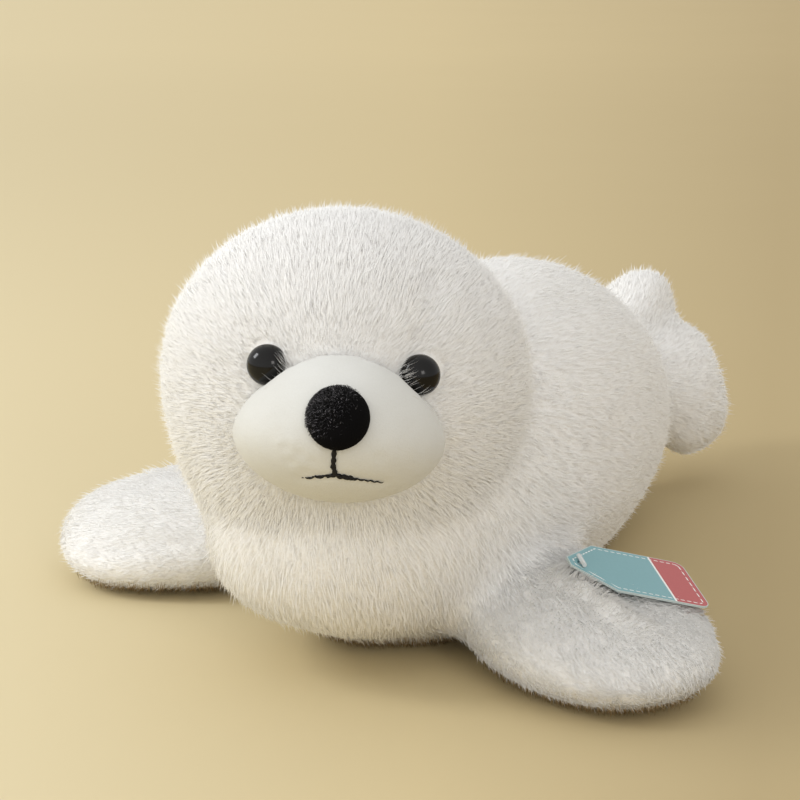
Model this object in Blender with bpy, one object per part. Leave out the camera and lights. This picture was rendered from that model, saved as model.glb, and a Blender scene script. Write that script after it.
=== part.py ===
"""A stuffed seal pup lying on its belly, head up, with a hang tag pinned at one front flipper.

Metres, +Z up. The body runs along Y with the chest at -Y and the hind flippers at +Y.
The origin is on the floor, on the flat that the belly rests on. The seal's left is +X.
Each stuffed form is one solid: its cover and its filling are sewn shut and can't be parted.
"""

import math

import bmesh
import bpy
from mathutils import Matrix, Vector
from mathutils.bvhtree import BVHTree

# Clearance between neighbouring pieces
GAP = 0.0003

# Faces around and along the large stuffed forms, the flippers, the small forms and the round trim
LARGE_FACES = (36, 26)
CREASED_FACES = (28, 20)
LOBE_FACES = (20, 16)
MUZZLE_FACES = (32, 22)
NOSE_FACES = (28, 14)
DOME_STEPS = 8
ROUND_STEPS = 24

# How far from the toy the sight lines start that find a place on a surface
SIGHT_REACH = 0.3

# Body: an egg laid on its side, from the chest to the rump
BODY_FRONT = -0.083
BODY_REAR = 0.292
CHEST_HALF_WIDTH = 0.082
BACK_HALF_WIDTH = 0.078
RUMP_HALF_WIDTH = 0.042
CHEST_TOP = 0.118
BACK_TOP = 0.201
RUMP_TOP = 0.112
CHEST_MIDDLE = 0.062
BACK_MIDDLE = 0.074
RUMP_MIDDLE = 0.050
BODY_FULLNESS = 0.76
BELLY_SINK = 0.014
CHEST_SHIFT = -0.012

# Head: an egg with its long end down, turned towards the seal's left
HEAD_X = -0.013
HEAD_Y = -0.014
HEAD_RISE = 0.064
HEAD_HALF_WIDTH = 0.0785
HEAD_HALF_DEPTH = 0.074
HEAD_CROWN = 0.071
HEAD_JOWL = 0.092
HEAD_SQUARENESS = 2.0
FACE_TURN = math.radians(29)
FACE_UP = math.radians(9)
FACE_TILT = math.radians(4)

# Muzzle: a padded bean that narrows upwards between the eyes
MUZZLE_HALF_WIDTH = 0.0440
MUZZLE_UPPER_HEIGHT = 0.034
MUZZLE_LOWER_HEIGHT = 0.028
MUZZLE_REACH = 0.046
MUZZLE_SINK = 0.012
MUZZLE_DROP = 0.0190
MUZZLE_TAPER = 0.16
MUZZLE_FLATNESS = 1.15

# Nose: a domed velvet pad on the muzzle
NOSE_HALF_WIDTH = 0.0135
NOSE_HALF_HEIGHT = 0.0140
NOSE_HALF_DEPTH = 0.0075
NOSE_RISE = 0.0105

# Mouth: one upright thread and one curved thread
THREAD_RADIUS = 0.0006
PHILTRUM_START = 0.0015
MOUTH_LEFT_WIDTH = 0.021
MOUTH_RIGHT_WIDTH = 0.015
MOUTH_DROOP = 0.0035
MOUTH_FALL = 0.0115
MOUTH_STEPS = 8
MOUTH_BEND = 0.8
PHILTRUM_STEPS = 4

# Eyes: moulded domes on a stem, each held by a washer behind the cover
EYE_RADIUS = 0.0088
EYE_DOME = 0.0070
EYE_SPACING = 0.0615
EYE_RISE = 0.006
EYE_SEAT = 0.0022
EYE_RIM = 0.0010
EYE_ROOM_REACH = 0.03
STEM_RADIUS = 0.0022
STEM_LENGTH = 0.0130
WASHER_RADIUS = 0.0070
WASHER_THICKNESS = 0.0018
WASHER_DEPTH = 0.0060

# Front flippers: padded paddles that lie on the floor
FLIPPER_LENGTH = 0.146
FLIPPER_ROOT_HALF_WIDTH = 0.046
FLIPPER_TIP_HALF_WIDTH = 0.055
FLIPPER_ROOT_THICKNESS = 0.056
FLIPPER_TIP_THICKNESS = 0.040
LEFT_FLIPPER_SINK = 0.044
RIGHT_FLIPPER_SINK = 0.011
FLIPPER_SQUASH = 0.003
PADDLE_EDGE_FULLNESS = 0.8
PADDLE_TOP_FULLNESS = 0.9
CREASE_DEPTH = 0.014
CREASE_HALF_WIDTH = 0.012
CREASE_ASIDE = 0.024
CREASE_MIDDLE = 0.066
CREASE_HALF_LENGTH = 0.036
RIGHT_FLIPPER_Y = 0.084
LEFT_FLIPPER_Y = 0.046
RIGHT_FLIPPER_SWEEP = math.radians(-32)
LEFT_FLIPPER_SWEEP = math.radians(-28)
RIGHT_FLIPPER_ROLL = math.radians(16)
LEFT_FLIPPER_ROLL = math.radians(3)

# Hind flippers: two plump lobes that stand on edge behind the rump
HIND_LENGTH = 0.096
HIND_ROOT_HALF_WIDTH = 0.032
HIND_TIP_HALF_WIDTH = 0.044
HIND_ROOT_THICKNESS = 0.040
HIND_TIP_THICKNESS = 0.054
HIND_ROOT_INSET = 0.034
HIND_ROOT_SPACING = 0.026
HIND_ROOT_HEIGHT = 0.066
LEFT_HIND_SPLAY = math.radians(6)
LEFT_HIND_RISE = math.radians(-11)
LEFT_HIND_ROLL = math.radians(68)
RIGHT_HIND_SPLAY = math.radians(4)
RIGHT_HIND_RISE = math.radians(17)
RIGHT_HIND_ROLL = math.radians(-60)

# Hang tag and the plastic pin that holds it
TAG_LENGTH = 0.0605
TAG_WIDTH = 0.040
TAG_THICKNESS = 0.0009
TAG_CORNER = 0.005
TAG_SHOULDER = 0.0165
TAG_HOLE_RADIUS = 0.0016
TAG_HOLE_INSET = 0.0055
PIN_ALONG = 0.060
PIN_ASIDE = 0.012
TAG_TURN = math.radians(43)
TAG_DIP = math.radians(15.5)
TAG_LEAN = math.radians(10.5)
PIN_RADIUS = 0.0006
PIN_BAR_LENGTH = 0.009
PIN_BAR_RADIUS = 0.0010
PIN_DEPTH = 0.0060

# Colours
WHITE_FUR = (0.86, 0.84, 0.79)
MUZZLE_WHITE = (0.84, 0.82, 0.76)
VELVET_BLACK = (0.012, 0.011, 0.012)
EYE_BLACK = (0.008, 0.007, 0.007)
WASHER_WHITE = (0.75, 0.75, 0.72)
TAG_BLUE = (0.22, 0.46, 0.52)
PIN_CLEAR = (0.80, 0.82, 0.82)


def clear_scene():
    for item in list(bpy.data.objects):
        bpy.data.objects.remove(item, do_unlink=True)


def material(name, colour, roughness):
    made = bpy.data.materials.new(name)
    made.use_nodes = True
    shader = made.node_tree.nodes["Principled BSDF"]
    shader.inputs["Base Color"].default_value = (*colour, 1.0)
    shader.inputs["Roughness"].default_value = roughness
    shader.inputs["Metallic"].default_value = 0.0
    return made


def add_piece(name, mesh_edit, colour, roughness):
    mesh = bpy.data.meshes.new(name)
    mesh_edit.normal_update()
    bmesh.ops.recalc_face_normals(mesh_edit, faces=mesh_edit.faces)
    mesh_edit.to_mesh(mesh)
    mesh_edit.free()
    mesh.shade_smooth()
    piece = bpy.data.objects.new(name, mesh)
    bpy.context.scene.collection.objects.link(piece)
    if colour:
        mesh.materials.append(material(name, colour, roughness))
    return piece


def shaped_ball(shape, around, along):
    """A ball whose every point is moved to where shape puts it."""
    form = bmesh.new()
    bmesh.ops.create_uvsphere(form, u_segments=around, v_segments=along, radius=1.0)
    for corner in form.verts:
        corner.co = shape(corner.co.copy())
    form.normal_update()
    return form


def blend(share, start, middle, end):
    """A smooth run of a size from start to end, pulled towards middle on the way."""
    rest = 1.0 - share
    return start * rest * rest + 2.0 * middle * share * rest + end * share * share


# Body
def body_half_width(along):
    return blend(along, CHEST_HALF_WIDTH, BACK_HALF_WIDTH, RUMP_HALF_WIDTH)


def body_top(along):
    return blend(along, CHEST_TOP, BACK_TOP, RUMP_TOP)


def body_middle(along):
    return blend(along, CHEST_MIDDLE, BACK_MIDDLE, RUMP_MIDDLE)


def body_share(y):
    return (y - BODY_FRONT) / (BODY_REAR - BODY_FRONT)


def body_centre(along):
    """The body bends a little, so its chest lies to one side of its rump."""
    return blend(along, CHEST_SHIFT, 0.0, 0.0)


def body_side(side, y):
    """Where the body's side is at y: side is 1 for the seal's left and -1 for its right."""
    along = body_share(y)
    ring = 2.0 * math.sqrt(max(along * (1.0 - along), 0.0))
    return body_centre(along) + side * body_half_width(along) * ring ** BODY_FULLNESS


def body_form(grow):
    def shape(unit):
        along = 0.5 * (1.0 - unit.z)
        ring = math.hypot(unit.x, unit.y)
        across = unit.x / ring if ring else 0.0
        upward = unit.y / ring if ring else 0.0
        ring = ring ** BODY_FULLNESS
        middle = body_middle(along)
        reach = body_top(along) - middle if upward > 0.0 else middle + BELLY_SINK
        y = BODY_FRONT + along * (BODY_REAR - BODY_FRONT)
        return Vector((
            body_centre(along) + body_half_width(along) * ring * across,
            y,
            middle + reach * ring * upward,
        ))

    form = shaped_ball(shape, *LARGE_FACES)
    if grow:
        swell(form, grow)
    else:
        flatten(form)
    return form


def swell(form, amount):
    """Move every point outward along its own normal."""
    form.normal_update()
    bmesh.ops.recalc_face_normals(form, faces=form.faces)
    form.normal_update()
    moves = [(corner, corner.normal * amount) for corner in form.verts]
    for corner, move in moves:
        corner.co += move


def flatten(form):
    """Cut the form off at the floor and close the cut with one flat face."""
    everything = list(form.verts) + list(form.edges) + list(form.faces)
    cut = bmesh.ops.bisect_plane(
        form, geom=everything, dist=1e-6, plane_co=(0, 0, 0), plane_no=(0, 0, 1), clear_inner=True
    )
    rim = [part for part in cut["geom_cut"] if isinstance(part, bmesh.types.BMEdge)]
    if rim:
        bmesh.ops.contextual_create(form, geom=rim)


# Head
def head_centre():
    return Vector((HEAD_X, HEAD_Y, CHEST_MIDDLE + HEAD_RISE))


def face_frame():
    """Origin at the head's centre, -Y out of the face, +X to the seal's left, +Z to its crown."""
    turn = Matrix.Rotation(FACE_TURN, 4, "Z")
    raise_chin = Matrix.Rotation(-FACE_UP, 4, "X")
    tilt = Matrix.Rotation(FACE_TILT, 4, "Y")
    return Matrix.Translation(head_centre()) @ turn @ raise_chin @ tilt


def head_form(grow):
    power = HEAD_SQUARENESS

    def shape(unit):
        length = (abs(unit.x) ** power + abs(unit.y) ** power + abs(unit.z) ** power) ** (1 / power)
        full = unit / length
        height = HEAD_CROWN if full.z > 0 else HEAD_JOWL
        return Vector((full.x * HEAD_HALF_WIDTH, full.y * HEAD_HALF_DEPTH, full.z * height))

    form = shaped_ball(shape, *LARGE_FACES)
    bmesh.ops.transform(form, matrix=face_frame(), verts=form.verts)
    if grow:
        swell(form, grow)
    return form


# Muzzle
def muzzle_frame():
    place = Vector((0.0, -(HEAD_HALF_DEPTH - MUZZLE_SINK), -MUZZLE_DROP))
    return face_frame() @ Matrix.Translation(place)


def muzzle_form(grow):
    def shape(unit):
        upper = 0.5 * (1.0 + unit.z)
        narrowing = 1.0 - MUZZLE_TAPER * upper ** 2
        height = MUZZLE_UPPER_HEIGHT if unit.z > 0 else MUZZLE_LOWER_HEIGHT
        squared = abs(unit.z) ** MUZZLE_FLATNESS * (1 if unit.z > 0 else -1)
        return Vector((
            unit.x * MUZZLE_HALF_WIDTH * narrowing,
            unit.y * MUZZLE_REACH,
            squared * height,
        ))

    form = shaped_ball(shape, *MUZZLE_FACES)
    bmesh.ops.transform(form, matrix=muzzle_frame(), verts=form.verts)
    if grow:
        swell(form, grow)
    return form


# Shared helpers
def modifier_cut(piece, cutter):
    cut = piece.modifiers.new("cut_" + cutter.name, "BOOLEAN")
    cut.operation = "DIFFERENCE"
    cut.object = cutter
    cut.solver = "EXACT"


def hidden_cutter(name, form):
    cutter = add_piece(name, form, None, None)
    cutter.hide_render = True
    cutter.display_type = "WIRE"
    return cutter


def surface_hit(tree, frame, across, upward):
    """Where a straight line from in front of the face, at these face measures, meets a surface."""
    start = frame @ Vector((across, -SIGHT_REACH, upward))
    direction = (frame.to_3x3() @ Vector((0.0, 1.0, 0.0))).normalized()
    place, normal, index, distance = tree.ray_cast(start, direction)
    return place, normal


def frame_at(place, outward):
    """A frame whose +Z points outward from a surface."""
    return Matrix.Translation(place) @ outward.to_track_quat("Z", "Y").to_matrix().to_4x4()


def turned(profile, steps):
    """Spin a closed outline of (radius, height) points about Z; points on the axis are merged."""
    form = bmesh.new()
    ring = [form.verts.new((radius, 0.0, height)) for radius, height in profile]
    edges = [form.edges.new((a, b)) for a, b in zip(ring, ring[1:] + ring[:1])
             if a.co.x > 0 or b.co.x > 0]
    bmesh.ops.spin(
        form, geom=ring + edges, cent=(0, 0, 0), axis=(0, 0, 1), dvec=(0, 0, 0),
        angle=math.tau, steps=steps, use_merge=True, use_duplicate=False,
    )
    bmesh.ops.remove_doubles(form, verts=form.verts, dist=1e-6)
    return form


# Eyes
def dome_points(radius, height, count):
    """A quarter outline from the crown of a dome to its rim."""
    points = []
    for step in range(count + 1):
        angle = 0.5 * math.pi * step / count
        points.append((radius * math.sin(angle), height * math.cos(angle)))
    points[0] = (0.0, height)
    return points


def eye_profile():
    return dome_points(EYE_RADIUS, EYE_DOME, DOME_STEPS) + [
        (EYE_RADIUS, -EYE_RIM),
        (STEM_RADIUS, -EYE_RIM),
        (STEM_RADIUS, -STEM_LENGTH),
        (0.0, -STEM_LENGTH),
    ]


def eye_room_profile():
    """The hollow that one eye and its washer take in the head, open at the surface."""
    washer_top = -WASHER_DEPTH + GAP
    washer_base = -STEM_LENGTH - GAP
    return [
        (0.0, EYE_ROOM_REACH),
        (EYE_RADIUS + GAP, EYE_ROOM_REACH),
        (EYE_RADIUS + GAP, -EYE_RIM - GAP),
        (STEM_RADIUS + GAP, -EYE_RIM - GAP),
        (STEM_RADIUS + GAP, washer_top),
        (WASHER_RADIUS + GAP, washer_top),
        (WASHER_RADIUS + GAP, washer_base),
        (0.0, washer_base),
    ]


def eye_shell_profile():
    """The eye's dome and rim, grown by the clearance."""
    radius = EYE_RADIUS + GAP
    base = -EYE_RIM - GAP
    return dome_points(radius, EYE_DOME + GAP, DOME_STEPS) + [(radius, base), (0.0, base)]


def washer_profile():
    inner = STEM_RADIUS + GAP
    top = -WASHER_DEPTH
    base = top - WASHER_THICKNESS
    return [(inner, top), (WASHER_RADIUS, top), (WASHER_RADIUS, base), (inner, base)]


def crease(along, aside):
    """How far the top of a front flipper sinks where its lengthwise crease runs."""
    over = (along - CREASE_MIDDLE) / CREASE_HALF_LENGTH
    beside = (aside - CREASE_ASIDE) / CREASE_HALF_WIDTH
    return CREASE_DEPTH * math.exp(-over * over - beside * beside)


def paddle_form(frame, length, half_widths, thicknesses, grow, creased=0):
    """A padded paddle that runs along the frame's +X, from a narrow root to a broad round tip.

    creased is 1 or -1 where the top has a crease on that side of the middle, and 0 elsewhere.
    """
    def shape(unit):
        along = 0.5 * (1.0 - unit.z)
        ring = math.hypot(unit.x, unit.y)
        across = unit.x / ring if ring else 0.0
        upward = unit.y / ring if ring else 0.0
        half_width = half_widths[0] + (half_widths[1] - half_widths[0]) * along
        half_thickness = 0.5 * (thicknesses[0] + (thicknesses[1] - thicknesses[0]) * along)
        point = Vector((
            along * length,
            half_width * ring ** PADDLE_EDGE_FULLNESS * across,
            half_thickness * ring ** PADDLE_TOP_FULLNESS * upward,
        ))
        if creased and upward > 0.0:
            point.z -= upward * crease(point.x, creased * point.y)
        return point

    form = shaped_ball(shape, *(CREASED_FACES if creased else LOBE_FACES))
    bmesh.ops.transform(form, matrix=frame, verts=form.verts)
    if grow:
        swell(form, grow)
    return form


# Front flippers
def front_flipper_frame(side, y, sweep, roll):
    """side is 1 for the seal's left and -1 for its right; a positive roll lifts the rear edge."""
    sink = LEFT_FLIPPER_SINK if side > 0 else RIGHT_FLIPPER_SINK
    root = Vector((body_side(side, y) - side * sink, y, 0.5 * FLIPPER_ROOT_THICKNESS))
    slope = math.asin(0.5 * (FLIPPER_ROOT_THICKNESS - FLIPPER_TIP_THICKNESS) / FLIPPER_LENGTH)
    heading = sweep if side > 0 else math.pi - sweep
    return (Matrix.Translation(root) @ Matrix.Rotation(heading, 4, "Z")
            @ Matrix.Rotation(slope, 4, "Y") @ Matrix.Rotation(side * roll, 4, "X"))


def front_flipper_form(side, y, sweep, roll):
    form = paddle_form(
        front_flipper_frame(side, y, sweep, roll), FLIPPER_LENGTH,
        (FLIPPER_ROOT_HALF_WIDTH, FLIPPER_TIP_HALF_WIDTH),
        (FLIPPER_ROOT_THICKNESS, FLIPPER_TIP_THICKNESS), 0.0, side,
    )
    lowest = min(corner.co.z for corner in form.verts)
    bmesh.ops.translate(form, verts=form.verts, vec=(0.0, 0.0, -FLIPPER_SQUASH - lowest))
    flatten(form)
    return form


# Hind flippers
def hind_flipper_form(side, splay, rise, roll, grow=0.0):
    root = Vector((side * 0.5 * HIND_ROOT_SPACING, BODY_REAR - HIND_ROOT_INSET, HIND_ROOT_HEIGHT))
    frame = (Matrix.Translation(root) @ Matrix.Rotation(0.5 * math.pi - side * splay, 4, "Z")
             @ Matrix.Rotation(-rise, 4, "Y") @ Matrix.Rotation(roll, 4, "X"))
    form = paddle_form(
        frame, HIND_LENGTH, (HIND_ROOT_HALF_WIDTH, HIND_TIP_HALF_WIDTH),
        (HIND_ROOT_THICKNESS, HIND_TIP_THICKNESS), grow,
    )
    flatten(form)
    return form


# Nose
def nose_form(place, outward):
    def shape(unit):
        return Vector((
            unit.x * NOSE_HALF_WIDTH, unit.y * NOSE_HALF_HEIGHT, unit.z * NOSE_HALF_DEPTH,
        ))

    form = shaped_ball(shape, *NOSE_FACES)
    bmesh.ops.transform(form, matrix=frame_at(place, outward), verts=form.verts)
    return form


# Mouth
def add_thread(name, points):
    line = bpy.data.curves.new(name, "CURVE")
    line.dimensions = "3D"
    line.bevel_depth = THREAD_RADIUS
    line.bevel_resolution = 2
    line.use_fill_caps = True
    spline = line.splines.new("POLY")
    spline.points.add(len(points) - 1)
    for point, place in zip(spline.points, points):
        point.co = (*place, 1.0)
    piece = bpy.data.objects.new(name, line)
    bpy.context.scene.collection.objects.link(piece)
    line.materials.append(material(name, VELVET_BLACK, 0.7))
    return piece


def stitched_points(tree, face_points):
    """Lay a thread on a surface along a row of (across, upward) face measures."""
    frame = face_frame()
    laid = []
    for across, upward in face_points:
        place, normal = surface_hit(tree, frame, across, upward)
        laid.append(place + normal * (THREAD_RADIUS + GAP))
    return laid


def mouth_rows():
    """The curved mouth line and the upright thread above its middle."""
    middle = -MUZZLE_DROP - MOUTH_FALL
    curved = []
    for step in range(-MOUTH_STEPS, MOUTH_STEPS + 1):
        share = step / MOUTH_STEPS
        width = MOUTH_LEFT_WIDTH if share > 0 else MOUTH_RIGHT_WIDTH
        curved.append((share * width, middle - MOUTH_DROOP * abs(share) ** MOUTH_BEND))
    top = -MUZZLE_DROP + NOSE_RISE - NOSE_HALF_HEIGHT - PHILTRUM_START
    base = middle + 2.0 * THREAD_RADIUS + 2.0 * GAP
    upright = [
        (0.0, top + (base - top) * step / PHILTRUM_STEPS) for step in range(PHILTRUM_STEPS + 1)
    ]
    return curved, upright


# Hang tag
def tag_outline():
    half = 0.5 * TAG_WIDTH
    return [
        (0.0, TAG_SHOULDER - half), (TAG_SHOULDER, -half), (TAG_LENGTH, -half),
        (TAG_LENGTH, half), (TAG_SHOULDER, half), (0.0, half - TAG_SHOULDER),
    ]


def tag_frame(hole_place):
    turn = Matrix.Rotation(TAG_TURN, 4, "Z")
    dip = Matrix.Rotation(TAG_DIP, 4, "Y")
    lean = Matrix.Rotation(TAG_LEAN, 4, "X")
    return Matrix.Translation(hole_place) @ turn @ dip @ lean


def tag_form(frame):
    form = bmesh.new()
    face = form.faces.new([form.verts.new((x, y, 0.0)) for x, y in tag_outline()])
    far = [corner for corner in face.verts if corner.co.x > 0.9 * TAG_LENGTH]
    bmesh.ops.bevel(
        form, geom=far, offset=TAG_CORNER, offset_type="OFFSET", segments=5, profile=0.5,
        affect="VERTICES", material=-1,
    )
    grown = bmesh.ops.extrude_face_region(form, geom=list(form.faces))
    risen = [part for part in grown["geom"] if isinstance(part, bmesh.types.BMVert)]
    bmesh.ops.translate(form, verts=risen, vec=(0.0, 0.0, TAG_THICKNESS))
    bmesh.ops.translate(form, verts=form.verts, vec=(-TAG_HOLE_INSET, 0.0, 0.0))
    bmesh.ops.transform(form, matrix=frame, verts=form.verts)
    return form


def rod_form(radius, start, end, steps, frame):
    """A plain rod from start to end, two points in the frame."""
    run = end - start
    form = bmesh.new()
    bmesh.ops.create_cone(
        form, cap_ends=True, segments=steps, radius1=radius, radius2=radius, depth=run.length
    )
    place = Matrix.Translation(0.5 * (start + end)) @ run.to_track_quat("Z", "Y").to_matrix().to_4x4()
    bmesh.ops.transform(form, matrix=frame @ place, verts=form.verts)
    return form


def pin_rods(frame, surface_drop, grow):
    """The pin's thread, the bar on top of the card and the bar under the flipper's cover."""
    top = TAG_THICKNESS + GAP + PIN_BAR_RADIUS
    base = -surface_drop - PIN_DEPTH
    half = Vector((0.0, 0.5 * PIN_BAR_LENGTH + grow, 0.0))
    upper = Vector((0.0, 0.0, top))
    lower = Vector((0.0, 0.0, base))
    thread = rod_form(PIN_RADIUS + grow, lower, upper, 10, frame)
    top_bar = rod_form(PIN_BAR_RADIUS + grow, upper - half, upper + half, 12, frame)
    low_bar = rod_form(PIN_BAR_RADIUS + grow, lower - half, lower + half, 12, frame)
    return thread, top_bar, low_bar


def add_union(piece, form, name):
    other = hidden_cutter(name, form)
    join = piece.modifiers.new("join_" + name, "BOOLEAN")
    join.operation = "UNION"
    join.object = other
    join.solver = "EXACT"


def lift_clear(form, tree):
    """How far a form must rise, straight up, to rest on the surface below it."""
    lift = None
    for face in form.faces:
        for start in [corner.co for corner in face.verts] + [face.calc_center_median()]:
            above = Vector((start.x, start.y, SIGHT_REACH))
            place, normal, index, distance = tree.ray_cast(above, Vector((0.0, 0.0, -1.0)))
            if place is not None:
                need = place.z - start.z
                lift = need if lift is None else max(lift, need)
    return lift


def add_tag(flipper, flipper_tree, pin_above):
    down = Vector((0.0, 0.0, -1.0))
    surface, normal, index, distance = flipper_tree.ray_cast(pin_above, down)
    trial = tag_form(tag_frame(surface))
    bmesh.ops.subdivide_edges(trial, edges=trial.edges[:], cuts=6, use_grid_fill=True)
    lift = lift_clear(trial, flipper_tree) + GAP
    trial.free()
    frame = tag_frame(surface + Vector((0.0, 0.0, lift)))
    card = add_piece("hang_tag", tag_form(frame), TAG_BLUE, 0.6)
    hole = rod_form(
        TAG_HOLE_RADIUS, Vector((0.0, 0.0, -TAG_WIDTH)), Vector((0.0, 0.0, TAG_WIDTH)), 20, frame
    )
    modifier_cut(card, hidden_cutter("tag_hole", hole))
    thread, top_bar, low_bar = pin_rods(frame, lift, 0.0)
    pin = add_piece("tag_pin", thread, PIN_CLEAR, 0.2)
    add_union(pin, top_bar, "pin_top_bar")
    add_union(pin, low_bar, "pin_low_bar")
    thread_room, top_room, low_room = pin_rods(frame, lift, GAP)
    top_room.free()
    modifier_cut(flipper, hidden_cutter("pin_thread_room", thread_room))
    modifier_cut(flipper, hidden_cutter("pin_bar_room", low_room))


def mesh_tree(form):
    tree = BVHTree.FromBMesh(form)
    form.free()
    return tree


def add_eye(name, side, head_tree, head, muzzle):
    frame = face_frame()
    place, normal = surface_hit(head_tree, frame, side * 0.5 * EYE_SPACING, EYE_RISE)
    forward = (frame.to_3x3() @ Vector((0.0, -1.0, 0.0))).normalized()
    outward = (normal + forward).normalized()
    seat = frame_at(place - outward * EYE_SEAT, outward)
    eye = turned(eye_profile(), ROUND_STEPS)
    bmesh.ops.transform(eye, matrix=seat, verts=eye.verts)
    add_piece(name, eye, EYE_BLACK, 0.08)
    washer = turned(washer_profile(), ROUND_STEPS)
    bmesh.ops.transform(washer, matrix=seat, verts=washer.verts)
    add_piece(name + "_washer", washer, WASHER_WHITE, 0.5)
    room = turned(eye_room_profile(), ROUND_STEPS)
    bmesh.ops.transform(room, matrix=seat, verts=room.verts)
    modifier_cut(head, hidden_cutter(name + "_room", room))
    shell = turned(eye_shell_profile(), ROUND_STEPS)
    bmesh.ops.transform(shell, matrix=seat, verts=shell.verts)
    modifier_cut(muzzle, hidden_cutter(name + "_shell", shell))


def main():
    clear_scene()
    body = add_piece("body", body_form(0.0), WHITE_FUR, 0.9)
    body_room = hidden_cutter("body_room", body_form(GAP))
    head = add_piece("head", head_form(0.0), WHITE_FUR, 0.9)
    modifier_cut(head, body_room)
    head_room = hidden_cutter("head_room", head_form(GAP))
    muzzle = add_piece("muzzle", muzzle_form(0.0), MUZZLE_WHITE, 0.85)
    modifier_cut(muzzle, head_room)
    muzzle_room = hidden_cutter("muzzle_room", muzzle_form(GAP))
    muzzle_tree = mesh_tree(muzzle_form(0.0))
    head_tree = mesh_tree(head_form(0.0))
    nose_place, nose_outward = surface_hit(
        muzzle_tree, face_frame(), 0.0, NOSE_RISE - MUZZLE_DROP
    )
    nose = add_piece("nose", nose_form(nose_place, nose_outward), VELVET_BLACK, 0.95)
    modifier_cut(nose, muzzle_room)
    curved, upright = mouth_rows()
    add_thread("mouth_stitch", stitched_points(muzzle_tree, curved))
    add_thread("lip_stitch", stitched_points(muzzle_tree, upright))
    add_eye("left_eye", 1, head_tree, head, muzzle)
    add_eye("right_eye", -1, head_tree, head, muzzle)

    left_front = (1, LEFT_FLIPPER_Y, LEFT_FLIPPER_SWEEP, LEFT_FLIPPER_ROLL)
    right_front = (-1, RIGHT_FLIPPER_Y, RIGHT_FLIPPER_SWEEP, RIGHT_FLIPPER_ROLL)
    left_flipper = add_piece("left_front_flipper", front_flipper_form(*left_front), WHITE_FUR, 0.9)
    right_flipper = add_piece("right_front_flipper", front_flipper_form(*right_front), WHITE_FUR, 0.9)
    for flipper in (left_flipper, right_flipper):
        modifier_cut(flipper, body_room)
        modifier_cut(flipper, head_room)
    left_hind = (1, LEFT_HIND_SPLAY, LEFT_HIND_RISE, LEFT_HIND_ROLL)
    right_hind = (-1, RIGHT_HIND_SPLAY, RIGHT_HIND_RISE, RIGHT_HIND_ROLL)
    left_room = hidden_cutter("left_hind_room", hind_flipper_form(*left_hind, grow=GAP))
    left = add_piece("left_hind_flipper", hind_flipper_form(*left_hind), WHITE_FUR, 0.9)
    right = add_piece("right_hind_flipper", hind_flipper_form(*right_hind), WHITE_FUR, 0.9)
    for flipper in (left, right):
        modifier_cut(flipper, body_room)
    modifier_cut(right, left_room)

    flipper_tree = mesh_tree(front_flipper_form(*left_front))
    pin_above = front_flipper_frame(*left_front) @ Vector((PIN_ALONG, PIN_ASIDE, SIGHT_REACH))
    add_tag(left_flipper, flipper_tree, pin_above)


main()
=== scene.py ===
# %% [markdown]
# # A stuffed seal pup with a soft white pile
#
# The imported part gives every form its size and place. This lesson dresses it: one soft coat
# with a real pile on it, a short-pile muzzle with a stitched mouth, a velvet nose, moulded
# eyes and a card hang tag. Everything is in metres and in the part's own frame.

import math

import bmesh
import bpy
import numpy as np
from mathutils import Matrix, Vector, kdtree, noise
from mathutils.bvhtree import BVHTree


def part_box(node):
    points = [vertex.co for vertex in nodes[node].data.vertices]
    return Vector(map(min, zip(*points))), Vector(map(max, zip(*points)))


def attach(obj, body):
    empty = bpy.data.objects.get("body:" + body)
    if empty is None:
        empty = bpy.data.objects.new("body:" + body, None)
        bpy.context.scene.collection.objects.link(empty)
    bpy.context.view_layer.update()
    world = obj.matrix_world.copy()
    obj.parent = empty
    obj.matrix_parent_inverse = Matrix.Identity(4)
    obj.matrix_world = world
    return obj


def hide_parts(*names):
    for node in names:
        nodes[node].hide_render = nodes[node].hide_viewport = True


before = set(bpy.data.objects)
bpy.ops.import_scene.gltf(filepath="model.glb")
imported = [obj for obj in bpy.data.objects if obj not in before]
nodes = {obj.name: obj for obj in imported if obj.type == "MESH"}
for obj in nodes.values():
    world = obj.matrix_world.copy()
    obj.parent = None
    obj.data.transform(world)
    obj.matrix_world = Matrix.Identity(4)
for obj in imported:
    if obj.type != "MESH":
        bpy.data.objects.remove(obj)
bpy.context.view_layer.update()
scene = bpy.context.scene

# %% [markdown]
# ## The camera
#
# The photograph looks down on the pup a little, from its left front. A long lens from most of a
# metre keeps the near flipper from growing too large beside the head. The camera is aimed, so
# it needs no shift.

# %% Camera
EYE_POINT = Vector((0.4073, -0.7449, 0.3226))
AIM_AZIMUTH = math.radians(28.3)
AIM_DROP = math.radians(13.9)
LENS = 90.8

sight = Vector((
    -math.sin(AIM_AZIMUTH) * math.cos(AIM_DROP),
    math.cos(AIM_AZIMUTH) * math.cos(AIM_DROP),
    -math.sin(AIM_DROP),
))
lens_data = bpy.data.cameras.new("camera")
lens_data.lens = LENS
lens_data.sensor_width = 36.0
camera = bpy.data.objects.new("camera", lens_data)
scene.collection.objects.link(camera)
camera.location = EYE_POINT
camera.rotation_mode = "QUATERNION"
camera.rotation_quaternion = sight.to_track_quat("-Z", "Y")
scene.camera = camera
scene.view_settings.view_transform = "Standard"

# %% [markdown]
# ## Materials
#
# Each finish is a Principled shader with a few procedural nodes in front of it. Small helpers
# add a node and link what it is given, so a material reads as a list of its layers.


# %% Material helpers
def new_material(name, roughness, colour=(0.8, 0.8, 0.8)):
    made = bpy.data.materials.new(name)
    made.use_nodes = True
    shader = made.node_tree.nodes["Principled BSDF"]
    shader.inputs["Roughness"].default_value = roughness
    shader.inputs["Base Color"].default_value = (*colour, 1.0)
    return made, shader


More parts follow.
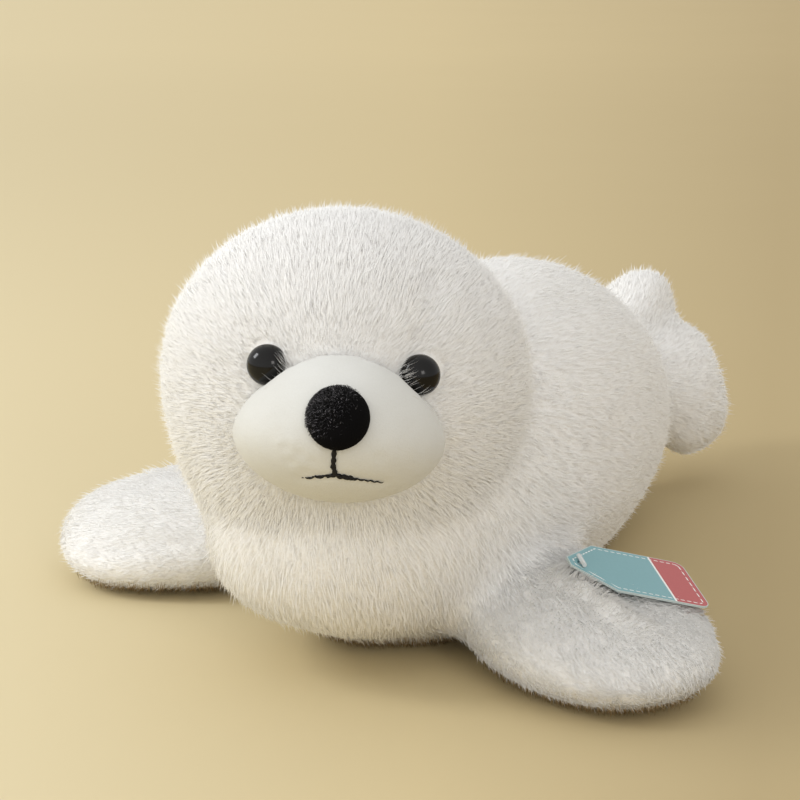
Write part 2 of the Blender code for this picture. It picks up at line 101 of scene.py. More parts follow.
def add_node(material, kind, settings=None, **inputs):
    """Add a node; inputs are named as its sockets, with _ for a space, and hold a value or a socket."""
    made = material.node_tree.nodes.new(kind)
    for key, value in (settings or {}).items():
        setattr(made, key, value)
    for key, value in inputs.items():
        put(material, made.inputs[key.replace("_", " ")], value)
    return made


def put(material, socket, value):
    if isinstance(value, bpy.types.NodeSocket):
        material.node_tree.links.new(value, socket)
    else:
        socket.default_value = value


def calc(material, operation, *values):
    """One Math node."""
    made = material.node_tree.nodes.new("ShaderNodeMath")
    made.operation = operation
    for socket, value in zip(made.inputs, values):
        put(material, socket, value)
    return made.outputs[0]


def object_place(material):
    return add_node(material, "ShaderNodeTexCoord").outputs["Object"]


def carried(material, name, output="Fac"):
    """A value that the mesh carries at its corners."""
    return add_node(material, "ShaderNodeAttribute", {"attribute_name": name}).outputs[output]


def mottle(material, scale, detail=2.0):
    return add_node(
        material, "ShaderNodeTexNoise", Vector=object_place(material), Scale=scale, Detail=detail
    ).outputs["Fac"]


def colour_ramp(material, factor, stops):
    ramp = add_node(material, "ShaderNodeValToRGB", Fac=factor)
    band = ramp.color_ramp
    while len(band.elements) < len(stops):
        band.elements.new(0.5)
    for element, (place, colour) in zip(band.elements, stops):
        element.position = place
        element.color = (*colour, 1.0)
    return ramp.outputs["Color"]


def blended(material, factor, first, second):
    mix = add_node(material, "ShaderNodeMix", {"data_type": "RGBA"})
    put(material, mix.inputs[0], factor)
    for socket, value in ((mix.inputs[6], first), (mix.inputs[7], second)):
        put(material, socket, value if isinstance(value, bpy.types.NodeSocket) else (*value, 1.0))
    return mix.outputs[2]


def scaled(material, colour, factor):
    made = add_node(material, "ShaderNodeVectorMath", {"operation": "SCALE"})
    put(material, made.inputs[0], colour)
    put(material, made.inputs["Scale"], factor)
    return made.outputs[0]


def mapped(material, value, low, high, first, last):
    """Turn values from low to high into values from first to last."""
    made = add_node(material, "ShaderNodeMapRange", Value=value)
    for key, number in (("From Min", low), ("From Max", high), ("To Min", first), ("To Max", last)):
        made.inputs[key].default_value = number
    return made.outputs["Result"]


def bumped(material, shader, height, strength, distance):
    bump = add_node(
        material, "ShaderNodeBump", Height=height, Strength=strength, Distance=distance
    )
    put(material, shader.inputs["Normal"], bump.outputs["Normal"])


# %% [markdown]
# ## The pile's finish
#
# White plush isn't one white: the roots are a little warmer than the tips, and whole locks
# differ slightly. Each hair carries its own place from root to tip and its own number, and the
# ramp reads them. The short hairs that touch the floor get dark brown tips: painted shadow
# where the toy meets the floor. Sheen gives the soft glow that fibres have at a glancing angle.
# The hairs borrow their shading direction from the coat under them, because a real pile is so
# fine that light wanders between its hairs and evens out.


# %% Pile material
SIDE_SOFTNESS = 0.2
FACE_SOFTNESS = 0.92


def softened(material, shader, least, most):
    """Turn the shading direction of a hair's outer face towards the coat's; its sides keep their own."""
    own = add_node(material, "ShaderNodeNewGeometry").outputs["True Normal"]
    coat_way = carried(material, "soft", "Vector")
    match = add_node(material, "ShaderNodeVectorMath", {"operation": "DOT_PRODUCT"})
    put(material, match.inputs[0], own)
    put(material, match.inputs[1], coat_way)
    share = mapped(material, match.outputs["Value"], 0.1, 0.8, least, most)
    mix = add_node(material, "ShaderNodeMix", {"data_type": "VECTOR"})
    put(material, mix.inputs[0], share)
    put(material, mix.inputs[4], own)
    put(material, mix.inputs[5], coat_way)
    level = add_node(material, "ShaderNodeVectorMath", {"operation": "NORMALIZE"})
    put(material, level.inputs[0], mix.outputs[1])
    put(material, shader.inputs["Normal"], level.outputs["Vector"])


def pile_material(name, root, tip, roughness, sheen):
    made, shader = new_material(name, roughness)
    softened(made, shader, SIDE_SOFTNESS, FACE_SOFTNESS)
    base = colour_ramp(made, carried(made, "along"), [(0.0, root), (0.7, tip)])
    tone = calc(made, "MULTIPLY_ADD", carried(made, "own"), 0.06, 0.93)
    tone = calc(made, "MULTIPLY_ADD", mottle(made, 75.0), 0.06, tone)
    put(made, shader.inputs["Base Color"], scaled(made, base, tone))
    shader.inputs["Sheen Weight"].default_value = sheen
    shader.inputs["Sheen Roughness"].default_value = 0.5
    shader.inputs["Specular IOR Level"].default_value = 0.25
    return made


WHITE_ROOT = (0.90, 0.885, 0.865)
WHITE_TIP = (0.935, 0.935, 0.93)
# Painted shadow: the fringe's beige roots and dark brown tips stand in for the shade where the toy meets
# the floor.
FRINGE_SHADE_ROOT = (0.80, 0.74, 0.62)
FRINGE_SHADOW_TIP = (0.24, 0.15, 0.06)
white_pile = pile_material("white_pile", WHITE_ROOT, WHITE_TIP, 0.75, 0.15)
shaded_fringe_pile = pile_material("shaded_fringe_pile", FRINGE_SHADE_ROOT, FRINGE_SHADOW_TIP, 0.8, 0.0)

# %% [markdown]
# The knitted backing shows as a tone between the hairs, so its material is a matte white with a
# fine knit in its colour and its bump.


# %% Backing cloth
def backing_material():
    made, shader = new_material("white_backing", 0.95)
    knit = mottle(made, 900.0, 3.0)
    tone = colour_ramp(made, knit, [(0.3, (0.85, 0.83, 0.80)), (0.7, WHITE_TIP)])
    put(made, shader.inputs["Base Color"], tone)
    bumped(made, shader, knit, 0.3, 0.0005)
    shader.inputs["Sheen Weight"].default_value = 0.15
    return made


white_backing = backing_material()

# %% [markdown]
# ## The coat
#
# The toy's cloth pieces meet in seams that the pile hides, so they are dressed as one coat. It
# is cloth blown up by its filling, and it is made that way: the part's solids are joined,
# remeshed into even faces, sunk by the height that the pile stands, and inflated by a cloth
# simulation with a little pressure. The move is capped, so the coat stays in the room of its
# solids. Relaxing the mesh rounds the creases between the pieces.


# %% Cloth helpers
def placed(name, form):
    """A new object with the form's mesh."""
    mesh = bpy.data.meshes.new(name)
    form.to_mesh(mesh)
    form.free()
    piece = bpy.data.objects.new(name, mesh)
    scene.collection.objects.link(piece)
    return piece


def welded(name, node_names):
    """One object with a merged copy of the named solids."""
    form = bmesh.new()
    for node_name in node_names:
        form.from_mesh(nodes[node_name].data)
    bmesh.ops.remove_doubles(form, verts=form.verts, dist=1e-6)
    return placed(name, form)


def apply_modifiers(piece):
    """Bake what the modifiers make into the piece's own mesh."""
    graph = bpy.context.evaluated_depsgraph_get()
    baked = bpy.data.meshes.new_from_object(piece.evaluated_get(graph))
    old = piece.data
    piece.modifiers.clear()
    piece.data = baked
    bpy.data.meshes.remove(old)


def remesh(piece, voxel):
    step = piece.modifiers.new("remesh", "REMESH")
    step.mode = "VOXEL"
    step.voxel_size = voxel
    apply_modifiers(piece)


def relax(piece, rounds, inset):
    """Smooth the stair-steps of the remesh away and sink the surface by inset."""
    form = bmesh.new()
    form.from_mesh(piece.data)
    for _ in range(rounds):
        bmesh.ops.smooth_vert(
            form, verts=form.verts, factor=0.5, use_axis_x=True, use_axis_y=True, use_axis_z=True
        )
    form.normal_update()
    moves = [(corner, corner.normal * inset) for corner in form.verts]
    for corner, move in moves:
        corner.co -= move
        corner.co.z = max(corner.co.z, COAT_FLOOR)
    form.to_mesh(piece.data)
    form.free()


def inflate(piece, pressure, cap, frames=20):
    """Let the cloth swell as stuffing pushes it, moving no point further than cap."""
    count = len(piece.data.vertices)
    before = np.empty(count * 3)
    piece.data.vertices.foreach_get("co", before)
    cloth = piece.modifiers.new("cloth", "CLOTH")
    cloth.settings.quality = 5
    cloth.settings.use_pressure = True
    cloth.settings.uniform_pressure_force = pressure
    cloth.settings.tension_stiffness = 12.0
    cloth.settings.compression_stiffness = 12.0
    cloth.settings.bending_stiffness = 0.4
    cloth.settings.effector_weights.gravity = 0.0
    cloth.point_cache.frame_start = 1
    cloth.point_cache.frame_end = frames
    for step in range(1, frames + 1):
        scene.frame_set(step)
    apply_modifiers(piece)
    scene.frame_set(1)
    after = np.empty(count * 3)
    piece.data.vertices.foreach_get("co", after)
    move = (after - before).reshape(-1, 3)
    reach = np.linalg.norm(move, axis=1, keepdims=True)
    move *= np.minimum(1.0, cap / np.maximum(reach, 1e-9))
    placed = before.reshape(-1, 3) + move
    placed[:, 2] = np.maximum(placed[:, 2], COAT_FLOOR)
    piece.data.vertices.foreach_set("co", placed.ravel())
    piece.data.update()
    print(piece.name, "swelled by", round(float(np.abs(move).max()) * 1000, 2), "mm")


def finished(piece, material, replaced):
    """Shade a piece smooth, give it its material, hang it on the root and hide the parts that it replaces.
    """
    piece.data.shade_smooth()
    piece.data.materials.clear()
    piece.data.materials.append(material)
    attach(piece, "root")
    if replaced:
        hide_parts(*replaced)
    return piece


# %% [markdown]
# The head's solid has a hollow for each eye, so the eyes' own solids plug them while the coat is
# remeshed. Then the coat is pressed in a little round each eye, as a washer pulls it in, and a
# soft crease is drawn down the brow above each eye.

# %% Eye places
EYE_RADIUS = 0.0083
EYE_DOME = 0.0070


def eye_seat(name):
    """The middle of an eye's rim, and the way the eye looks."""
    corners = np.array([tuple(corner.co) for corner in nodes[name + "_washer"].data.vertices])
    middle = corners.mean(axis=0)
    axis = Vector(np.linalg.svd(corners - middle)[2][2]).normalized()
    head_low, head_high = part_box("head")
    if axis.dot(Vector(middle) - (Vector(head_low) + Vector(head_high)) / 2) < 0:
        axis = -axis
    seat = Vector(middle)
    reach = max((corner.co - seat).dot(axis) for corner in nodes[name].data.vertices)
    return seat + axis * (reach - EYE_DOME), axis


eye_seats = {name: eye_seat(name) for name in ("left_eye", "right_eye")}
for name, (rim, outward) in eye_seats.items():
    print(name, "rim at", [round(value, 4) for value in rim])

# %% Coat
COAT_FLOOR = 0.0008
COAT_VOXEL = 0.004
COAT_PRESSURE = 4.0
SWELL_CAP = 0.001
PILE_STAND = 0.0016
FRONT_FLIPPERS = ["left_front_flipper", "right_front_flipper"]
HIND_FLIPPERS = ["left_hind_flipper", "right_hind_flipper"]
CLOTH_NODES = ["body", "head", *FRONT_FLIPPERS, *HIND_FLIPPERS]

coat = welded("coat", CLOTH_NODES + ["left_eye", "right_eye"])
remesh(coat, COAT_VOXEL)
relax(coat, 5, PILE_STAND)
inflate(coat, COAT_PRESSURE, SWELL_CAP)
relax(coat, 4, 0.0)
print("coat has", len(coat.data.vertices), "corners")


# %% Dents and creases
def press_eye_dents(piece, depth, spread):
    """Draw the coat in round each eye."""
    for corner in piece.data.vertices:
        for rim, outward in eye_seats.values():
            offset = corner.co - rim
            height = offset.dot(outward)
            beside = (offset - outward * height).length
            if height > -0.03 and beside < 3.0 * spread:
                corner.co -= outward * depth * math.exp(-((beside / spread) ** 2))
                top = -0.0012 + 1.3 * max(beside - EYE_RADIUS, 0.0)
                if beside < EYE_RADIUS * 1.3:
                    height = (corner.co - rim).dot(outward)
                    corner.co -= outward * max(height - top, 0.0)


def press_crease(piece, start, end, depth, spread):
    """A soft groove along a line, fading at its ends."""
    start, end = Vector(start), Vector(end)
    along = end - start
    for corner in piece.data.vertices:
        share = min(max((corner.co - start).dot(along) / along.length_squared, 0.0), 1.0)
        gap = (corner.co - start - along * share).length
        if gap < 3.0 * spread:
            corner.co -= corner.normal * depth * math.exp(-((gap / spread) ** 2))


def move_spot(piece, spot, move, spread):
    """Move the coat near a spot, fading with the distance."""
    spot, move = Vector(spot), Vector(move)
    for corner in piece.data.vertices:
        gap = (corner.co - spot).length
        if gap < 3.0 * spread:
            corner.co += move * math.exp(-((gap / spread) ** 2))
            corner.co.z = max(corner.co.z, COAT_FLOOR)


press_eye_dents(coat, 0.0032, 0.0125)
press_crease(coat, (0.0390, -0.0371, 0.1728), (0.0436, -0.0544, 0.1519), 0.0022, 0.0055)
press_crease(coat, (-0.0207, -0.0562, 0.1850), (-0.0117, -0.0757, 0.1665), 0.0010, 0.0060)
press_crease(coat, (-0.1500, -0.0095, 0.0220), (-0.1120, 0.0040, 0.0290), 0.0022, 0.0050)

# %% [markdown]
# The toy sags a little: the near tail lobe droops, the chest and the far flipper curl up from the
# floor at the front, and the near flipper's tip is drawn in. Each row is a spot, its move and how
# far the move reaches.

# %% Sag
SAGS = [
    ((0.0330, 0.3450, 0.0600), (-0.0070, -0.0038, 0.0), 0.018),
    ((0.0356, 0.2881, 0.0298), (0.0, 0.0, -0.0055), 0.018),
    ((0.0330, 0.3380, 0.0250), (0.0, 0.0, -0.0030), 0.015),
    ((-0.0150, -0.0450, 0.0150), (0.0, 0.0040, 0.0045), 0.035),
    ((0.0140, -0.0200, 0.0050), (0.0, 0.0030, 0.0025), 0.020),
    ((-0.1250, -0.0040, 0.0030), (0.0, 0.0010, 0.0035), 0.030),
    ((-0.0900, 0.0120, 0.0080), (0.0, 0.0010, 0.0040), 0.022),
    ((0.1550, 0.0220, 0.0200), (-0.0055, 0.0, 0.0), 0.024),
]
for spot, move, spread in SAGS:
    move_spot(coat, spot, move, spread)

# %% [markdown]
# The near flipper has a soft ridge in front of the tag, where its pile stands up, and a dip under
# the tag's lower edge.

# %% Ridge by the tag
RIDGE = [
    (0.0790, 0.0050, 0.0445),
    (0.0950, -0.0020, 0.0430),
    (0.1080, -0.0085, 0.0405),
    (0.1250, -0.0110, 0.0370),
]
RIDGE_RISE = (0.0030, 0.0022, 0.0020)
for start, end, rise in zip(RIDGE[:-1], RIDGE[1:], RIDGE_RISE):
    press_crease(coat, start, end, -rise, 0.0050)
press_crease(coat, (0.1040, 0.0020, 0.0410), (0.1260, 0.0040, 0.0370), 0.0030, 0.0045)
coat.data.update()
finished(coat, white_backing, CLOTH_NODES)

# %% [markdown]
# ## Combing the coat
#
# Every corner of the coat gets a direction that its hairs are brushed in, by the piece of cloth
# it lies on: the head's pile away from the muzzle, the body's backwards and down, and each
# flipper's towards its tip. Near a seam the directions of both sides are mixed, so the pile
# flows over it, and the shading directions are averaged with their neighbours' for the same
# reason.


# %% Mesh arrays
def mesh_arrays(mesh):
    """Places and normals of the corners, and the triangles."""
    mesh.calc_loop_triangles()
    places = np.empty(len(mesh.vertices) * 3)
    mesh.vertices.foreach_get("co", places)
    normals = np.empty(len(mesh.vertices) * 3)
    mesh.vertices.foreach_get("normal", normals)
    triangles = np.empty(len(mesh.loop_triangles) * 3, dtype=np.int64)
    mesh.loop_triangles.foreach_get("vertices", triangles)
    return places.reshape(-1, 3), normals.reshape(-1, 3), triangles.reshape(-1, 3)


def unit(vectors):
    return vectors / np.maximum(np.linalg.norm(vectors, axis=1, keepdims=True), 1e-9)


def averaged(mesh, values, rounds):
    """Each corner's value, averaged with its neighbours' a few times."""
    edges = np.empty(len(mesh.edges) * 2, dtype=np.int64)
    mesh.edges.foreach_get("vertices", edges)
    first, second = edges.reshape(-1, 2).T
    total = len(mesh.vertices)
    share = 1.0 + np.bincount(first, minlength=total) + np.bincount(second, minlength=total)
    for _ in range(rounds):
        gathered = values.copy()
        np.add.at(gathered, first, values[second])
        np.add.at(gathered, second, values[first])
        values = gathered / share[:, None]
    return values


def node_tree(name):
    form = bmesh.new()
    form.from_mesh(nodes[name].data)
    return BVHTree.FromBMesh(form)


def distances(tree, places):
    """How far each place is from a solid's skin, below zero inside it."""
    found = np.empty(len(places))
    for index, place in enumerate(places):
        near, normal, face, distance = tree.find_nearest(Vector(place))
        inside = (Vector(place) - near).dot(normal) < 0.0
        found[index] = -distance if inside else distance
    return found


# %% Comb
muzzle_low, muzzle_high = (Vector(corner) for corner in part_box("muzzle"))
muzzle_middle = (muzzle_low + muzzle_high) / 2
head_low, head_high = (Vector(corner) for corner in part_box("head"))
face_way = (muzzle_middle - (head_low + head_high) / 2).normalized()
print("the face looks along", [round(value, 3) for value in face_way])


def combed(name, places):
    """The way a piece's pile is brushed, at each place."""
    if name == "head":
        return places - np.array(muzzle_middle + face_way * 0.03)
    if name == "body":
        share = np.clip((places[:, 1:2] + 0.03) / 0.09, 0.0, 1.0)
        return np.array([0.0, 0.35, -1.0]) * (1.0 - share) + np.array([0.0, 1.0, -0.25]) * share
    low, high = (np.array(corner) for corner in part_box(name))
    middle = (low + high) / 2
    if name in FRONT_FLIPPERS:
        return places - np.array([0.0, middle[1] + 0.06, middle[2]])
    return places - np.array([0.0, low[1], middle[2]])


coat_places, coat_normals, coat_triangles = mesh_arrays(coat.data)
nearness = np.stack([np.abs(distances(node_tree(name), coat_places)) for name in CLOTH_NODES], axis=1)
cloth_share = np.exp(-(nearness - nearness.min(axis=1, keepdims=True)) / 0.008)
cloth_share /= cloth_share.sum(axis=1, keepdims=True)
comb = sum(
    unit(combed(name, coat_places)) * cloth_share[:, index:index + 1]
    for index, name in enumerate(CLOTH_NODES)
)
cloth_of = nearness.argmin(axis=1)
soft_normals = unit(averaged(coat.data, coat_normals, 10))

# %% [markdown]
# No hair grows where the muzzle or an eye sits, nor on the flat of the belly that lies on the
# floor.

# %% Bare places
MUZZLE_CLEAR = 0.0008
MUZZLE_DEPTH = 0.006

muzzle_solid = node_tree("muzzle")
grows = (coat_normals[:, 2] > -0.93) | (coat_places[:, 2] > 0.003)
print("the pile covers", round(float(grows.mean()), 2), "of the coat, less the muzzle and the eyes")


def room_for_hair(roots, outwards):
    """Which roots have nothing sewn over them, and how far each one is from the muzzle."""
    gap = distances(muzzle_solid, roots + outwards * MUZZLE_CLEAR)
    free = (gap > 0.0) | (gap < -MUZZLE_DEPTH)
    for rim, outward in eye_seats.values():
        offset = roots - np.array(rim)
        height = offset @ np.array(outward)
        beside = np.linalg.norm(offset - height[:, None] * np.array(outward), axis=1)
        free &= (beside > EYE_RADIUS) | (height < -0.02)
    return free, np.abs(gap)


def line_gap(places, points):
    """How far each place is from a run of straight lines."""
    best = np.full(len(places), 9.0)
    for start, end in zip(np.array(points[:-1]), np.array(points[1:])):
        share = np.clip((places - start) @ (end - start) / ((end - start) @ (end - start)), 0.0, 1.0)
        best = np.minimum(best, np.linalg.norm(places - start - share[:, None] * (end - start), axis=1))
    return best


# %% [markdown]
# ## Hairs
#
# A hair is a thin closed spindle with a bend: a cone with three sides, whose open end is drawn
# to a point. It has only six faces, because it is repeated tens of thousands of times. The
# template is made once, and numpy copies it to every root.

# %% One hair
HAIR_BELLY = 0.45


def spindle():
    """The corners and triangles of one hair along +Z, from 0 to 1, widest at HAIR_BELLY."""
    form = bmesh.new()
    bmesh.ops.create_cone(
        form, cap_ends=False, segments=3, radius1=0.0001, radius2=1.0, depth=HAIR_BELLY
    )
    bmesh.ops.translate(form, verts=form.verts, vec=(0.0, 0.0, 0.5 * HAIR_BELLY))
    low = [corner for corner in form.verts if corner.co.z < 0.5 * HAIR_BELLY]
    bmesh.ops.pointmerge(form, verts=low, merge_co=(0.0, 0.0, 0.0))
    rim = [edge for edge in form.edges if edge.is_boundary]
    grown = bmesh.ops.extrude_edge_only(form, edges=rim)
    tip = [part for part in grown["geom"] if isinstance(part, bmesh.types.BMVert)]
    bmesh.ops.pointmerge(form, verts=tip, merge_co=(0.0, 0.0, 1.0))
    bmesh.ops.triangulate(form, faces=form.faces)
    bmesh.ops.recalc_face_normals(form, faces=form.faces)
    form.verts.index_update()
    corners = np.array([tuple(corner.co) for corner in form.verts])
    faces = np.array([[corner.index for corner in face.verts] for face in form.faces])
    form.free()
    return corners, faces


hair_corners, hair_faces = spindle()
print("one hair has", len(hair_corners), "corners and", len(hair_faces), "faces")


# %% Many hairs
def hair_piece(name, roots, bends, tips, widths, facing, own, material):
    """A copy of the spindle through each root, bend and tip, its flat side turned outwards."""
    total, each = len(roots), len(hair_corners)
    side = unit(np.cross(tips - roots, facing) + 1e-6)
    under = unit(np.cross(tips - roots, side))
    built = np.empty((total, each, 3))
    along = np.empty((total, each))
    for index, (x, y, z) in enumerate(hair_corners):
        if z < 0.01:
            built[:, index], along[:, index] = roots, 0.0
        elif z > 0.99:
            built[:, index], along[:, index] = tips, 1.0
        else:
            built[:, index] = bends + 0.5 * widths[:, None] * (side * x + under * y)
            along[:, index] = HAIR_BELLY
    built[:, :, 2] = np.maximum(built[:, :, 2], 0.0003)
    faces = (hair_faces[None] + (np.arange(total) * each)[:, None, None]).reshape(-1, 3)
    mesh = bpy.data.meshes.new(name)
    mesh.vertices.add(total * each)
    mesh.vertices.foreach_set("co", built.ravel())
    mesh.loops.add(len(faces) * 3)
    mesh.loops.foreach_set("vertex_index", faces.ravel())
    mesh.polygons.add(len(faces))
    mesh.polygons.foreach_set("loop_start", np.arange(len(faces)) * 3)
    mesh.update(calc_edges=True)
    mesh.shade_flat()
    soft = mesh.attributes.new("soft", "FLOAT_VECTOR", "POINT")
    soft.data.foreach_set("vector", np.repeat(facing, each, axis=0).astype(np.float32).ravel())
    for label, values in (("along", along.ravel()), ("own", np.repeat(own, each))):
        layer = mesh.attributes.new(label, "FLOAT", "POINT")
        layer.data.foreach_set("value", values.astype(np.float32))
    mesh.materials.append(material)
    piece = bpy.data.objects.new(name, mesh)
    scene.collection.objects.link(piece)
    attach(piece, "root")
    print(name, total, "hairs,", len(faces), "triangles")
    return piece


# %% [markdown]
# ## Growing a pile
#
# Roots are scattered over the coat by area, with a fixed seed. Each hair leans along the comb,
# strays a little, and draws together with its neighbours into locks, which is what gives plush
# its soft mottled look. About one hair in seven stands up more than the rest: those make the fine
# fuzz round the toy's edges. The pile is short beside the muzzle and near the floor, and it
# stands up on the ridge by the tag.


# %% Roots and drift
def scatter(triangles, weight, count, draw):
    """Random spots on triangles, by their weight: the corners and how much each one counts."""
    edges = np.concatenate([[0.0], np.cumsum(weight)])
    spots = (np.arange(count) + draw.random(count)) / count * edges[-1]
    chosen = np.clip(np.searchsorted(edges, spots) - 1, 0, len(weight) - 1)
    share = draw.random((count, 2))
    flip = share.sum(axis=1) > 1.0
    share[flip] = 1.0 - share[flip]
    mix = np.stack([1.0 - share.sum(axis=1), share[:, 0], share[:, 1]], axis=1)
    return triangles[chosen], mix[:, :, None]


def areas(places, triangles):
    a, b, c = (places[triangles[:, index]] for index in range(3))
    return 0.5 * np.linalg.norm(np.cross(b - a, c - a), axis=1)


# Blender's noise takes its offsets from the clock unless a seed is set.
noise.seed_set(7)


def drift(places, size, seed):
    """A smooth random direction at each place, that changes over about size metres."""
    shift = Vector((seed * 1.7, seed * 2.3, seed * 3.1))
    return np.array([tuple(noise.noise_vector(Vector(place) / size + shift)) for place in places])


# %% Pile
STRAY_SHARE = 0.15
LOCK_SIZE = 0.0048
RIM_LENGTH = 0.007
RIDGE_WIDTH = 0.006
LOW_PILE = 0.045
FRINGE_HEIGHT = 0.010


def grow_pile(
    name, members, count, length, width, lean, seed, wave=0.30, lock_pull=0.2, painted_shade=0.0, fringe=False
):
    """Hairs over some of the cloth pieces, darkened by painted shade if one is given; a fringe is only the
    lowest rim.
    """
    draw = np.random.default_rng(seed)
    mine = np.isin(cloth_of, [CLOTH_NODES.index(member) for member in members]) & grows
    if fringe:
        mine &= (coat_places[:, 2] < FRINGE_HEIGHT) & (coat_normals[:, 2] < 0.2)
    weight = areas(coat_places, coat_triangles) * mine[coat_triangles[:, 0]]
    corners, mix = scatter(coat_triangles, weight, count, draw)
    roots = (coat_places[corners] * mix).sum(axis=1)
    free, from_rim = room_for_hair(roots, unit((coat_normals[corners] * mix).sum(axis=1)))
    corners, mix, roots, from_rim = corners[free], mix[free], roots[free], from_rim[free]
    count = len(roots)
    facing = unit((soft_normals[corners] * mix).sum(axis=1))
    way = unit((comb[corners] * mix).sum(axis=1))
    if fringe:
        way = np.repeat([[0.0, 0.0, -1.0]], count, axis=0)
    way += drift(roots, 0.035, seed) * wave + drift(roots, 0.008, seed + 5) * wave
    way += draw.normal(0.0, 0.11, (count, 3))
    way = unit(way - (way * facing).sum(axis=1, keepdims=True) * facing)
    reach = length * (1.0 + draw.normal(0.0, 0.14, count)).clip(0.5, 1.4)[:, None]
    angle = (lean * (1.0 + draw.normal(0.0, 0.04, count)))[:, None]
    rim = np.clip(from_rim / RIM_LENGTH, 0.0, 1.0)[:, None]
    ridge = np.exp(-(line_gap(roots, RIDGE) / RIDGE_WIDTH) ** 2)[:, None]
    low_down = np.clip(roots[:, 2:] / LOW_PILE, 0.0, 1.0)
    reach *= (0.65 + 0.35 * rim) * (0.5 + 0.5 * low_down)
    angle *= (0.7 + 0.3 * rim) * (1.0 - 0.45 * ridge)
    stray = draw.random(count) < STRAY_SHARE
    angle[stray] *= draw.uniform(0.55, 0.85, (stray.sum(), 1))
    low, high = np.minimum(0.88 * angle, 1.4), np.minimum(1.12 * angle, 1.5)
    bends = roots + reach * HAIR_BELLY * (facing * np.cos(low) + way * np.sin(low))
    tips = bends + reach * (1.0 - HAIR_BELLY) * (facing * np.cos(high) + way * np.sin(high))
    locks = max(int(weight.sum() / LOCK_SIZE ** 2), 8)
    lock_corners, lock_mix = scatter(coat_triangles, weight, locks, draw)
    tree = kdtree.KDTree(locks)
    for index, middle in enumerate((coat_places[lock_corners] * lock_mix).sum(axis=1)):
        tree.insert(Vector(middle), index)
    tree.balance()
    lock = np.array([tree.find(Vector(place))[1] for place in roots])
    sums = np.zeros((locks, 3))
    np.add.at(sums, lock, tips)
    centre = sums / np.maximum(np.bincount(lock, minlength=locks), 1)[:, None]
    pull = np.where(stray, 0.3, 1.0)[:, None] * lock_pull
    tips += (centre[lock] - tips) * pull
    widths = width * (1.0 + draw.normal(0.0, 0.2, count)).clip(0.4, 1.6) * np.where(stray, 0.7, 1.0)
    shade_way = unit(facing + 0.18 * drift(roots, 0.009, seed + 9))
    # Each hair's own number, less the painted shade, sets how dark its colour is.
    return hair_piece(
        name, roots - facing * 0.0008, bends, tips, widths, shade_way, draw.random(count) - painted_shade,
        shaded_fringe_pile if fringe else white_pile,
    )


grow_pile("head_pile", ["head"], 33000, 0.0078, 0.00031, 1.22, 11)
grow_pile("head_down", ["head"], 31000, 0.0068, 0.00030, 1.32, 12)
grow_pile("body_pile", ["body"], 24000, 0.0085, 0.00042, 1.26, 21)
grow_pile("body_down", ["body"], 15000, 0.0075, 0.00042, 1.32, 22)
# The near flipper's hairs are painted darker: painted shade, where the body keeps the window light off it.
grow_pile("left_front_pile", ["left_front_flipper"], 16000, 0.0078, 0.00036, 1.24, 31, painted_shade=2.2)
grow_pile("right_front_pile", ["right_front_flipper"], 12000, 0.0080, 0.00040, 1.26, 32, lock_pull=0.1)
grow_pile("hind_pile", HIND_FLIPPERS, 12500, 0.0078, 0.00042, 1.26, 33)
# The floor fringe wears painted shadow: its dark tips stand in for the contact shade under the toy.
grow_pile("floor_fringe", ["body", *FRONT_FLIPPERS], 6500, 0.0085, 0.00030, 0.75, 61, fringe=True)

# %% [markdown]
# ## The muzzle
#
# The muzzle is a padded bean of short clipped pile: so short that it reads as a smooth matte
# surface. It is simulated as the coat is, then subdivided. The cloth is pressed in where the
# mouth's thread pulls it and at a few faint whisker dimples. Along the edge that goes under the
# coat it is painted tan: painted shade in the crease where the pile meets it.


# %% Clipped pile
def clipped_material(name, dark, light, scale, strength, sheen, specular=0.2, seam_shade=None):
    """Clipped pile: a fine mottle in the colour and the bump, with a soft sheen."""
    made, shader = new_material(name, 0.9)
    fine = mottle(made, scale, 4.0)
    both = calc(made, "MULTIPLY_ADD", mottle(made, 60.0), 0.5, calc(made, "MULTIPLY", fine, 0.5))
    colour = colour_ramp(made, both, [(0.3, dark), (0.7, light)])
    # The seam colour is painted shade: a tan laid along the edge that goes under the coat.
    if seam_shade:
        colour = blended(made, carried(made, "seam_shade"), colour, seam_shade)
    put(made, shader.inputs["Base Color"], colour)
    bumped(made, shader, fine, strength, 0.0004)
    shader.inputs["Sheen Weight"].default_value = sheen
    shader.inputs["Specular IOR Level"].default_value = specular
    return made


short_pile = clipped_material(
    "short_pile", (0.625, 0.625, 0.60), (0.67, 0.675, 0.655), 1400.0, 0.35, 0.1,
    seam_shade=(0.50, 0.41, 0.30),
)

# %% Muzzle
MUZZLE_SHARE = 1.02


def widened(piece, middle, share, shift=(0.0, 0.0, 0.0)):
    """Scale a piece about its middle, but not along the way that the face looks."""
    for corner in piece.data.vertices:
        offset = corner.co - middle
        ahead = face_way * offset.dot(face_way)
        corner.co = middle + ahead + (offset - ahead) * share + Vector(shift)
    piece.data.update()


muzzle = welded("muzzle_cover", ["muzzle"])
remesh(muzzle, 0.0025)
relax(muzzle, 6, 0.0002)
inflate(muzzle, COAT_PRESSURE, 0.0005)
widened(muzzle, muzzle_middle, MUZZLE_SHARE)
subdivision = muzzle.modifiers.new("subdivision", "SUBSURF")
subdivision.levels = subdivision.render_levels = 1
apply_modifiers(muzzle)


# %% Mouth line
MOUTH_DROP = 0.0018
LIP_SHIFT = (-0.0010, -0.0005, -0.0003)


def middle_line(name, axis, count):
    """The middle line of a thread's solid, as points in order along an axis."""
    corners = np.array([tuple(corner.co) for corner in nodes[name].data.vertices])
    reach = corners @ axis
    edges = np.linspace(reach.min() - 1e-6, reach.max() + 1e-6, count + 1)
    bins = np.clip(np.searchsorted(edges, reach) - 1, 0, count - 1)
    filled = [index for index in range(count) if (bins == index).any()]
    return np.array([corners[bins == index].mean(axis=0) for index in filled])


